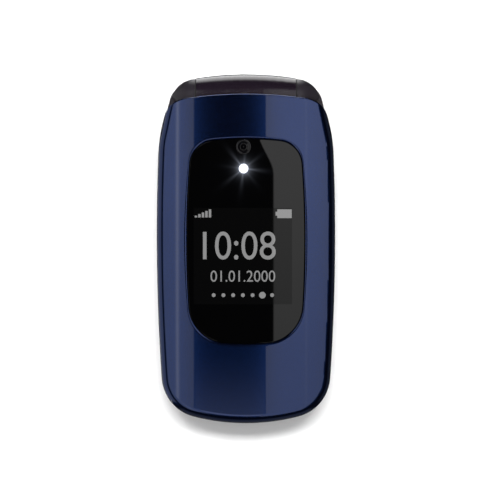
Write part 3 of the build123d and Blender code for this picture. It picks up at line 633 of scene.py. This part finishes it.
def plan_line(node, count, soften):
    """The outline of a solid in plan, resampled evenly and with the facets of its arcs smoothed away."""
    points = [v.co.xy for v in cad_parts[node].data.vertices]
    line = np.array([points[index] for index in convex_hull_2d(points)])
    turned = np.roll(line, -1, 0)
    if (line[:, 0] * turned[:, 1] - turned[:, 0] * line[:, 1]).sum() < 0:
        line = line[::-1]
    line = np.vstack((line, line[:1]))
    steps = np.concatenate(([0.0], np.cumsum(np.hypot(*np.diff(line, axis=0).T))))
    want = np.linspace(0, steps[-1], count, endpoint=False)
    even = np.stack([np.interp(want, steps, line[:, axis]) for axis in (0, 1)], 1)
    pitch = steps[-1] / count
    reach = int(3 * soften / pitch) + 1
    weights = np.exp(-0.5 * (np.arange(-reach, reach + 1) * pitch / soften) ** 2)
    shifts = [np.roll(even, shift, 0) * weight for shift, weight in zip(range(-reach, reach + 1), weights)]
    return sum(shifts) / weights.sum()


def cast(line, centre, rays):
    """Where each ray from a point meets a closed line round it."""
    run, start = np.roll(line, -1, 0) - line, line - centre
    cross = rays[:, None, 0] * run[None, :, 1] - rays[:, None, 1] * run[None, :, 0]
    along = (start[:, 0] * run[:, 1] - start[:, 1] * run[:, 0])[None] / cross
    share = (start[None, :, 0] * rays[:, None, 1] - start[None, :, 1] * rays[:, None, 0]) / cross
    hit = (along > 0) & (share >= -1e-6) & (share <= 1 + 1e-6)
    return centre + rays * np.where(hit, along, 0).max(1)[:, None]


def nearest(line, places):
    """How far each place is from an open line, and the line's outward direction there."""
    start, run = line[:-1], np.diff(line, axis=0)
    to = places[:, None] - start[None]
    share = np.clip((to * run).sum(2) / (run ** 2).sum(1), 0, 1)
    gap = to - share[..., None] * run
    far = np.hypot(gap[..., 0], gap[..., 1])
    best = far.argmin(1)
    outward = np.stack((run[best, 1], -run[best, 0]), 1)
    return far.min(1), outward / np.hypot(*outward.T)[:, None]


def cover_z(places):
    """Height of the cover: its crown, rolled off into the rim round the whole phone."""
    half = np.stack((np.abs(places[:, 0]), places[:, 1]), 1)
    inside, outward = nearest(rim_line, half)
    slope = (half[:, 0] * outward[:, 0] / np.sqrt(crown_across ** 2 - half[:, 0] ** 2)
             + half[:, 1] * outward[:, 1] / np.sqrt(crown_along ** 2 - half[:, 1] ** 2))
    steep = np.sqrt(1 + slope ** 2)
    z, short = crown_z(places), rim_radius - inside
    rolled = z + slope * short - rim_radius * steep + np.sqrt(np.maximum(0, rim_radius ** 2 - short ** 2))
    return np.where(inside < rim_radius * (1 - slope / steep), np.minimum(rolled, z), z)


def clear_z(places):
    """The lowest that the cover reaches: its split, or just over the barrel and the ears."""
    x, back = np.abs(places[:, 0]), places[:, 1] - hinge_y
    barrel = barrel_radius - (barrel_radius - barrel_end_radius) * (x / barrel_half) ** 2 + barrel_gap
    ear = (ear_radius + ear_gap) * np.sqrt(np.clip(1 - ((x - barrel_half) / ear_reach) ** 2, 0, 1))
    radius = np.where(x < barrel_half, barrel, ear)
    over = hinge_z + np.sqrt(np.maximum(0, radius ** 2 - back ** 2))
    return np.where(np.abs(back) < radius, np.maximum(split_z, over), split_z)


def polish(mesh, lift=0.0, flatter=1.0):
    """Normals from the crown itself wherever a face lies on it, so that reflections run clean across it.

    On the window they lean less across than the surface does, and more at its hinge end on the right."""
    places = np.array([v.co for v in mesh.vertices])
    on_crown = np.abs(places[:, 2] - crown_z(places) - lift) < polish_reach
    lean = flatter
    if flatter < 1:
        lean = flatter * (1 + turn_more * (places[:, 0] > 0)
                          * np.clip((places[:, 1] - turn_start) / turn_reach, 0, 1) ** 2)
    slopes = np.stack((lean * places[:, 0] / np.sqrt(crown_across ** 2 - places[:, 0] ** 2),
                       places[:, 1] / np.sqrt(crown_along ** 2 - places[:, 1] ** 2), np.ones(len(places))), 1)
    slopes /= np.linalg.norm(slopes, axis=1)[:, None]
    normals = [tuple(corner.vector) for corner in mesh.corner_normals]
    for face in mesh.polygons:
        if face.normal.z > polish_flat and all(on_crown[index] for index in face.vertices):
            for corner in face.loop_indices:
                normals[corner] = tuple(slopes[mesh.loops[corner].vertex_index])
    mesh.normals_split_custom_set(normals)


def at_height(places, z):
    return np.column_stack((places, z))


lacquer = Finish("blue_lacquer", lacquer_dark, 0.26, Metallic=1.0, Coat_Weight=1.0, Coat_Roughness=0.018,
                 Coat_IOR=1.5)
flakes = lacquer.node("ShaderNodeTexVoronoi", {"feature": "F1"}, Vector=lacquer.where(), Scale=1 / flake,
                      output=1)
cloud = lacquer.noise(14 * mm, 2.0)
sparkle = lacquer.node("ShaderNodeSeparateColor", {}, flakes)
lacquer.feed("Base Color", lacquer.blend(sparkle * 0.7 + cloud * 0.3, lacquer_dark, lacquer_light))
lacquer.feed("Roughness", sparkle * 0.06 + 0.19)

cover_line = plan_line("lid_outer_cover", line_points, line_soften)
side_run = (end_corner - shoulder) / np.hypot(*(end_corner - shoulder))
corner_turn = math.acos(-side_run[0])
corner_start = end_corner - side_run * end_corner_radius * math.tan(corner_turn / 2)
corner_middle = corner_start + np.array((-side_run[1], side_run[0])) * end_corner_radius
first = math.atan2(*(corner_start - corner_middle)[::-1])
corner_arc = [corner_middle + end_corner_radius * np.array((math.cos(a), math.sin(a)))
              for a in np.linspace(first, first + corner_turn, 14)]
right_side = cover_line[(cover_line[:, 0] > 0) & (cover_line[:, 1] < shoulder[1])]
right_side = right_side[np.argsort(np.arctan2(right_side[:, 1], right_side[:, 0]))]
rim_line = np.vstack((right_side[:2][::-1] * (-1, 1), right_side,
                      np.linspace(right_side[-1], corner_start, 9)[1:], corner_arc[1:]))

ray_centre = np.array((0.0, 2.0)) * mm
rays = cover_line - ray_centre
rays /= np.hypot(*rays.T)[:, None]
window_line = cast(plan_line("lid_window", 400, 0.5 * mm), ray_centre, rays)
opening = window_line + rays * opening_gap
breadth = np.hypot(*(cover_line - opening).T)[:, None]
from_rim = nearest(rim_line, np.abs(cover_line[:, :1]) * (1, 0) + cover_line * (0, 1))[0]
end_edge = np.clip((from_rim - edge_fade_start) / edge_fade, 0, 1)


def between(distance):
    """A ring this far in from the cover's edge, towards the window."""
    return cover_line - (cover_line - opening) * np.minimum(distance / breadth, 1)


rim_steps = np.array((0.0, 0.03, 0.08, 0.15, 0.24, 0.35, 0.5, 0.7, 0.95, 1.25, 1.6, 2.0, 2.5, 3.1, 4.0)) * mm
top_rings = []
for step in rim_steps:
    places = between(step)
    drop = edge_round - np.sqrt(max(0.0, edge_round ** 2 - max(0.0, edge_round - step) ** 2))
    top_rings.append(at_height(places, cover_z(places) - drop * end_edge))
start = between(rim_steps[-1])
roll_start = opening + rays * opening_roll
for share in np.linspace(0, 1, 13)[1:]:
    places = start + (roll_start - start) * share
    top_rings.append(at_height(places, cover_z(places)))
for share in np.linspace(0, 1, 7)[1:]:
    places = roll_start + (opening - roll_start) * share
    top_rings.append(at_height(places, cover_z(places) - opening_roll * opening_sink * share ** roll_curve))
edge_z = crown_z(opening) - opening_roll * opening_sink
inner = between(shell_wall)
lip = opening + rays * ledge_width
sill = window_line - rays * ledge_width
ledge_foot = glass_thickness + ledge_thickness
rings = [at_height(cover_line, np.minimum(clear_z(cover_line), top_rings[0][:, 2] - foot_gap))] + top_rings
rings += [at_height(opening, edge_z - glass_thickness),
          at_height(sill, crown_z(sill) - glass_thickness),
          at_height(sill, crown_z(sill) - ledge_foot),
          at_height(lip, crown_z(lip) - ledge_foot),
          at_height(lip, crown_z(lip) - shell_wall),
          at_height(start, np.maximum(crown_z(start) - shell_wall, clear_z(start))),
          at_height(inner, np.maximum(np.minimum(crown_z(inner), cover_z(inner)) - shell_wall, clear_z(inner))),
          at_height(inner, clear_z(inner))]
cover = show("cover_shell", skin("cover_shell", rings, hole=True), lacquer, "lid", "cover_blue",
             "lid_outer_cover")
smooth(cover, 40.0)
polish(cover.data)

# ---------------------------------------------------------------------------------------------
# Window of the lid: clear sheet, black-printed on its back, glued on the cover's ledge flush with
# the crown. Its black has a painted glow round the torch, and its edge is bevelled against the cover.

camera_x, camera_y, camera_seat = -0.7 * mm, 28.8 * mm, 2.2 * mm
torch_x, torch_y, torch_seat = -0.7 * mm, 22.6 * mm, 1.4 * mm
seat_depth, turn_steps = 8 * mm, 96
window_bevel = 0.2 * mm
window_flatness = 0.69      # the lean of its normals across, against the cover's
# Painted light: a glow, a starburst and a haze round the torch, as emission in the window's black.
glow_reach, star_reach = 0.62 * mm, 1.5 * mm
glow_strength, star_strength, painted_haze_strength = 1.5, 0.42, 0.03
star_arms, star_turn, star_sharpness = 8.0, 0.9, 5.0
uneven_arms, uneven_share = 3.0, 0.4

black_glass = Finish("black_glass", (0.0002, 0.0002, 0.0002), 0.03, Emission_Strength=1.0)
# The painted glow: a halo, an eight-armed starburst and a faint haze, fed in as emission.
off, off_x, off_y = black_glass.off(torch_x, torch_y)
turn = off.math("ARCTAN2", off_y, off_x)
arms = (((turn * star_arms + star_turn).of("COSINE") * 0.5 + 0.5) ** star_sharpness
        * ((turn * uneven_arms).of("COSINE") * uneven_share + (1 - uneven_share)))
painted_halo = (off * (-1 / glow_reach)).of("EXPONENT") * glow_strength
star = (off * (-1 / star_reach)).of("EXPONENT")
painted_glow = painted_halo + star * arms * star_strength + star * painted_haze_strength
black_glass.feed("Emission Color", black_glass.blend(painted_glow, (0.0, 0.0, 0.0), (0.75, 0.82, 1.0)))
black_glass.feed("Roughness", black_glass.noise(25 * mm) * 0.02 + 0.015)

window_rings = []
for inset, drop in ((0, glass_thickness), (0, window_bevel), (0.3 * window_bevel, 0.3 * window_bevel),
                    (window_bevel, 0)):
    places = window_line - rays * inset
    window_rings.append(at_height(places, crown_z(places) - drop))
for share in np.linspace(0, 0.96, 22)[1:]:
    ring = places * (1 - share) + ray_centre * share
    window_rings.append(at_height(ring, crown_z(ring)))
solid = placed("window_uncut", skin("window_glass", window_rings))
cutters = []
for x, y, radius in ((camera_x, camera_y, camera_seat), (torch_x, torch_y, torch_seat)):
    bpy.ops.mesh.primitive_cylinder_add(vertices=turn_steps, radius=radius, depth=seat_depth,
                                        location=(x, y, lid_top))
    cutters.append(bpy.context.object)
    seat = solid.modifiers.new("seat", "BOOLEAN")
    seat.operation, seat.solver, seat.object = "DIFFERENCE", "EXACT", cutters[-1]
glass_mesh = worked(solid)
for spent in (*cutters, solid):
    bpy.data.objects.remove(spent)
glass = show("window_glass", glass_mesh, black_glass, "lid", "window_black", "lid_window")
smooth(glass, 30.0)
polish(glass.data, flatter=window_flatness)

# ---------------------------------------------------------------------------------------------
# What the outer display shows: a clock, a row of numbers and seven day marks, with signal and
# battery bars. Lit cells of the display seen through the window, so they lie just over its black.

figures_lift, panel_lift = 0.03 * mm, 0.012 * mm
cut_across, cut_along = np.arange(-15, 15.5, 1.0) * mm, np.arange(-15, 12, 3.0) * mm
display_low_high = (-14.9, -16.0, 13.1, 11.4)       # this and what follows in millimetres
first_bar, bar_pitch, bar_width, bar_foot, bar_low, bar_step = -14.6, 1.0, 0.7, 8.7, 9.2, 0.45
battery_boxes = ((8.9, 8.5, 13.0, 11.0), (8.4, 9.2, 8.9, 10.3))
first_day, day_pitch, day_y, day_radius, today, today_radius, mark_steps = -9.2, 2.77, -13.4, 0.55, 5, 0.95, 24

lit_cells = Finish("lit_cells", (0.05, 0.05, 0.05), 0.03, Emission_Strength=1.0)
lit_cells.feed("Emission Color", lit_cells.blend(lit_cells.checks(cell), (0.17, 0.17, 0.17), (0.19, 0.19, 0.19)))
dark_cells = Finish("dark_cells", (0.0008, 0.0008, 0.0008), 0.03, Specular_IOR_Level=0.34, Emission_Strength=1.0,
                    Emission_Color=(0.0005, 0.0005, 0.0005))
dark_cells.feed("Base Color", dark_cells.blend(dark_cells.checks(cell), (0.0006, 0.0006, 0.0006),
                                               (0.001, 0.001, 0.001)))


def on_window(name, mesh, finish=lit_cells, lift=figures_lift):
    """A flat mesh bent onto the window's crown and lifted clear of it."""
    shape = bmesh.new()
    shape.from_mesh(mesh)
    for turn, cuts in (((1, 0, 0), cut_across), ((0, 1, 0), cut_along)):
        for cut in cuts:
            bmesh.ops.bisect_plane(shape, geom=shape.verts[:] + shape.edges[:] + shape.faces[:],
                                   plane_co=Vector(turn) * cut, plane_no=turn)
    for vertex in shape.verts:
        vertex.co.z = crown_z(np.array([vertex.co.xy]))[0] + lift
    bmesh.ops.triangulate(shape, faces=shape.faces)
    for face in shape.faces:
        if face.normal.z < 0:
            face.normal_flip()
    shape.to_mesh(mesh)
    shape.free()
    smooth(show(name, mesh, finish, "lid", "display"))
    polish(mesh, lift, window_flatness)


def flat_boxes(name, boxes):
    mesh = bpy.data.meshes.new(name)
    verts, faces = [], []
    for x0, y0, x1, y1 in boxes:
        first = len(verts)
        verts += [(x0 * mm, y0 * mm, 0), (x1 * mm, y0 * mm, 0), (x1 * mm, y1 * mm, 0), (x0 * mm, y1 * mm, 0)]
        faces.append((first, first + 1, first + 2, first + 3))
    mesh.from_pydata(verts, [], faces)
    return mesh


def figures(name, text, width, height, centre):
    on_window(name, letters(name, text, width * mm, height * mm, (centre[0] * mm, centre[1] * mm)))


on_window("display_area", flat_boxes("display_area", [display_low_high]), dark_cells, panel_lift)
figures("clock_figures", "10:08", 20.7, 8.0, (-1.9, 0.7))
figures("date_figures", "01.01.2000", 18.4, 3.2, (-0.9, -8.0))
bars = [(first_bar + bar_pitch * n, bar_foot, first_bar + bar_width + bar_pitch * n, bar_low + bar_step * n)
        for n in range(5)]
on_window("signal_bars", flat_boxes("signal_bars", bars))
on_window("battery_bars", flat_boxes("battery_bars", battery_boxes))
day_marks = bpy.data.meshes.new("day_marks")
mark_points, mark_faces = [], []
for day in range(7):
    radius = today_radius if day == today else day_radius
    mark_faces.append(range(len(mark_points), len(mark_points) + mark_steps))
    day_x = first_day + day * day_pitch
    mark_points += [((day_x + radius * math.cos(a)) * mm, (day_y + radius * math.sin(a)) * mm, 0)
                    for a in np.linspace(0, 2 * math.pi, mark_steps, endpoint=False)]
day_marks.from_pydata(mark_points, [], mark_faces)
on_window("day_marks", day_marks)

# ---------------------------------------------------------------------------------------------
# Camera and torch. A dark plated ring presses into the window over the camera's lens, and a clear
# capped light stands below it, switched on.

ring_profile = ((2.15, None), (2.15, 0.16), (2.09, 0.04), (1.99, 0), (1.72, 0), (1.6, 0.08), (1.3, 0.28),
                (1.15, 0.4), (1.15, None))      # radius and depth under the top in millimetres; None is its foot
iris_radius, iris_soft, painted_highlight_radius, painted_highlight_soft = 0.88 * mm, 0.08 * mm, 0.16 * mm, 0.06 * mm
torch_radius, torch_soft = 1.12 * mm, 0.3 * mm

dark_plate = Finish("dark_plating", (0.004, 0.004, 0.005), 0.2, Metallic=0.6, Coat_Weight=0.8, Coat_Roughness=0.05)
dark_plate.feed("Roughness", dark_plate.noise(0.3 * mm, 3.0) * 0.12 + 0.14)
low, high = corners("camera_ring")
rings = [[(camera_x + radius * mm * math.cos(a), camera_y + radius * mm * math.sin(a),
           low.z if depth is None else high.z - depth * mm)
          for a in np.linspace(0, 2 * math.pi, turn_steps, endpoint=False)] for radius, depth in ring_profile]
smooth(show("camera_ring_turned", skin("camera_ring_turned", rings, hole=True), dark_plate, "lid", "chrome",
            "camera_ring"), 35.0)

lens_coat = Finish("lens_coat", (0.002, 0.003, 0.006), 0.05, Coat_Weight=0.3, Coat_Roughness=0.01)
off = lens_coat.off(camera_x, camera_y)[0]
# The lens is paler beyond the iris radius, and a painted highlight sits in its middle.
pale = 1 - off.below(iris_radius, iris_soft) + off.below(painted_highlight_radius, painted_highlight_soft)
lens_coat.feed("Base Color", lens_coat.blend(pale, (0.0004, 0.0004, 0.0006), (0.014, 0.013, 0.013)))
broken_edges("camera_module", lens_coat, "lid", 0.2 * mm)

torch_light = Finish("torch_light", (0.3, 0.31, 0.33), 0.15, Emission_Strength=4.0)
lit = torch_light.off(torch_x, torch_y)[0].below(torch_radius, torch_soft)
torch_light.feed("Emission Color", torch_light.blend(lit, (0.05, 0.06, 0.09), (1.0, 1.0, 1.0)))
broken_edges("torch_led", torch_light, "lid", 0.15 * mm)

# ---------------------------------------------------------------------------------------------
# Studio: a white table under a camera straight above. The soft boxes overhead and the upright cards
# show only as reflections. A lamp beyond the hinge end throws the short shadow; the ceiling fills it.

card_foot, card_fade = -1.2, 0.12
dim_world = (0.02, 0.02, 0.024, 1.0)
camera_height, sharp_height = 0.9, 17 * mm
frame_width = 136.8 * mm        # seen at the sharp height
view_middle = (-1.71 * mm, 2.28 * mm)

table = placed("table", bpy.data.meshes.new("table"))
table.data.from_pydata([(-4, -4, 0), (4, -4, 0), (4, 4, 0), (-4, 4, 0)], [], [(0, 1, 2, 3)])
table_white = Finish("table_white", (0.9, 0.9, 0.9), 0.9, Specular_IOR_Level=0.0)
table_white.feed("Base Color", table_white.blend(table_white.noise(0.2), (0.89, 0.89, 0.89), (0.91, 0.91, 0.91)))
table.data.materials.append(table_white.material)
table.visible_glossy = False


def glowing_sheet(name, outline, radiance):
    """A light panel that shows only as a reflection; its finish is returned for grading."""
    sheet = placed(name, bpy.data.meshes.new(name))
    sheet.data.from_pydata(outline, [], [(3, 2, 1, 0)])
    finish = Finish(name, (0.0, 0.0, 0.0), 1.0, Emission_Strength=radiance, Specular_IOR_Level=0.0)
    sheet.data.materials.append(finish.material)
    sheet.visible_camera = sheet.visible_diffuse = sheet.visible_shadow = False
    return finish


def graded_box(name, angles, along, radiance, grade, edge, glint=None):
    """A soft box a metre overhead between two angles across the phone, with one brighter tube if named.

    Its light runs from one share to another between two places along the phone."""
    low, high = sorted(math.tan(math.radians(angle)) for angle in angles)
    peak = radiance * (1 + (glint[2] if glint else 0))
    near, far = along
    finish = glowing_sheet(name, [(low, near, 1), (high, near, 1), (high, far, 1), (low, far, 1)], peak)
    place = finish.along(0)
    rise = finish.node("ShaderNodeMapRange", {"interpolation_type": "SMOOTHSTEP"}, finish.along(1), *grade)
    level = rise * place.below(high - edge / 2, edge / 2) * (1 - place.below(low + edge / 2, edge / 2))
    if glint:
        angle, wide, more = glint
        off = (place - math.tan(math.radians(angle))) / wide
        level = level * ((off * off * -1.0).of("EXPONENT") * more + 1.0)
    finish.feed("Emission Color", finish.blend(level * (radiance / peak), (0, 0, 0), (1, 1, 1)))


graded_box("left_box", (-19, -40), (-0.8, 0.8), 0.82, (-0.16, 0.16, 0.8, 1.0), 0.014, (-25.5, 0.014, 1.5))
graded_box("right_box", (7.2, 33), (-0.8, 0.8), 1.05, (-0.2, 0.16, 0.7, 1.0), 0.01, (22.6, 0.008, 0.22))
graded_box("foot_box", (-19.0, 7.2), (-0.55, -0.12), 1.0, (-0.36, -0.12, 1.0, 0.0), 0.002)
for name, corner, run, top, radiance in (("hinge_card", (-0.24, 0.9), (0.48, 0.0), 0.06, 4.3),
                                         ("left_card", (-1.0, -0.8), (0.0, 1.6), 0.7, 0.5),
                                         ("right_card", (1.0, -0.8), (0.0, 1.6), 0.3, 0.1),
                                         ("foot_card", (-0.8, -1.0), (1.6, 0.0), 0.4, 0.14)):
    near_x, near_y = corner
    far_x, far_y = near_x + run[0], near_y + run[1]
    card = glowing_sheet(name, [(near_x, near_y, card_foot), (far_x, far_y, card_foot), (far_x, far_y, top),
                                (near_x, near_y, top)], radiance)
    lit = card.along(2).below(top - card_fade, card_fade)
    card.feed("Emission Color", card.blend(lit, (0.02, 0.02, 0.02), (1, 1, 1)))


def lamp(name, place, size, power):
    """A soft lamp aimed at the phone that leaves no reflection in it."""
    light = bpy.data.lights.new(name, "AREA")
    light.shape, light.size, light.size_y, light.energy = "RECTANGLE", *size, power
    obj = placed(name, light)
    obj.location = place
    back = Vector(place).normalized()
    side = Vector((0, 1, 0)).cross(back).normalized()
    obj.rotation_euler = Matrix((side, back.cross(side), back)).transposed().to_euler()
    obj.visible_glossy = False


lamp("far_lamp", (0.0, 0.33, 1.0), (0.62, 0.24), 14.0)
lamp("ceiling", (0.0, 0.0, 1.7), (4.0, 4.0), 52.0)

world = bpy.data.worlds.new("studio")
world.use_nodes = True
bpy.context.scene.world = world
backdrop = world.node_tree.nodes["Background"]
path = world.node_tree.nodes.new("ShaderNodeLightPath")
tone = world.node_tree.nodes.new("ShaderNodeMix")
tone.data_type = "RGBA"
tone.inputs[6].default_value = dim_world
tone.inputs[7].default_value = (1.0, 1.0, 1.0, 1.0)
world.node_tree.links.new(path.outputs["Is Camera Ray"], tone.inputs[0])
world.node_tree.links.new(tone.outputs[2], backdrop.inputs["Color"])
bpy.context.scene.view_settings.view_transform = "Standard"

lens = bpy.data.cameras.new("overhead")
lens.angle = 2 * math.atan(frame_width / 2 / (camera_height - sharp_height))
lens.clip_start = 0.01
overhead = placed("overhead", lens)
overhead.location = (*view_middle, camera_height)
bpy.context.scene.camera = overhead
